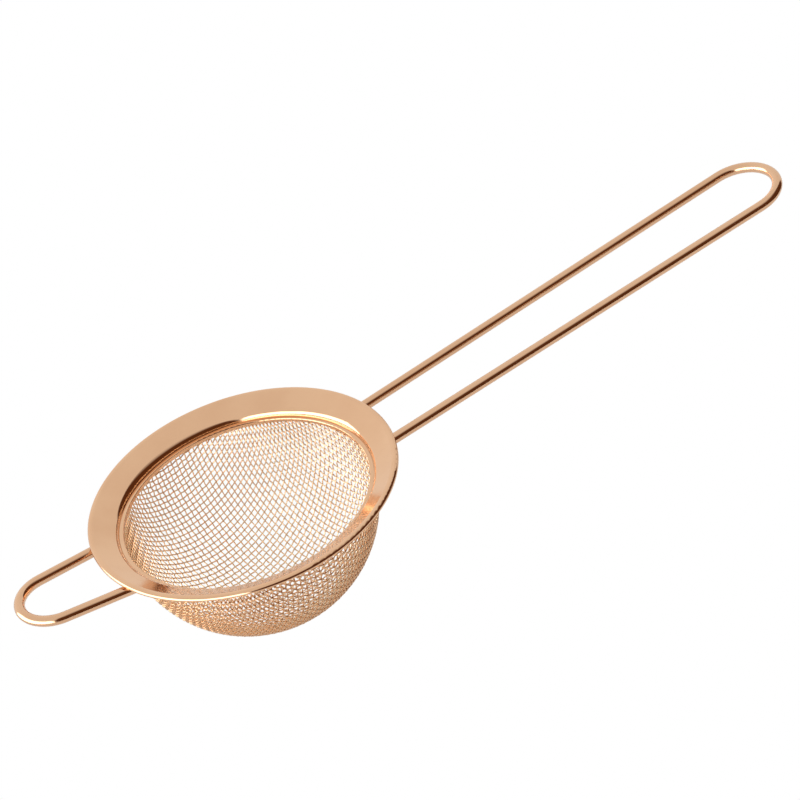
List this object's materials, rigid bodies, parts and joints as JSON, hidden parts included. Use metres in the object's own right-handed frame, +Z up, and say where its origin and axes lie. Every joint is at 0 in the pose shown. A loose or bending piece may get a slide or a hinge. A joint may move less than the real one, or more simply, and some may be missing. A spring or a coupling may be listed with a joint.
{
  "type": "fine mesh bar strainer",
  "caption": "Copper-finish fine mesh bar strainer: a dished rim holding a round woven wire bowl, with a long wire loop handle and a short wire rest loop opposite.",
  "frame": {"origin": "centre of the rim's top circle, on the bowl's axis, level with the highest line of the rim", "axes": "+X along the handle away from the bowl, +Z up along the bowl's axis out of its mouth, +Y completes a right-handed frame"},
  "size_m": [0.2494, 0.088, 0.0526],
  "materials": {
    "rim_copper": "polished copper plating",
    "wire_copper": "polished copper plating on drawn wire",
    "mesh_copper": "copper plating on fine woven wire",
    "weld_copper": "copper plating over weld metal"
  },
  "bodies": {
    "root": {"rim_flange": "rim_copper", "mesh_clamp_ring": "rim_copper", "mesh_basket": "mesh_copper", "handle_wire": "wire_copper", "rest_loop_wire": "wire_copper", "handle_weld_left": "weld_copper", "handle_weld_right": "weld_copper", "rest_weld_left": "weld_copper", "rest_weld_right": "weld_copper"}
  },
  "joints": []
}
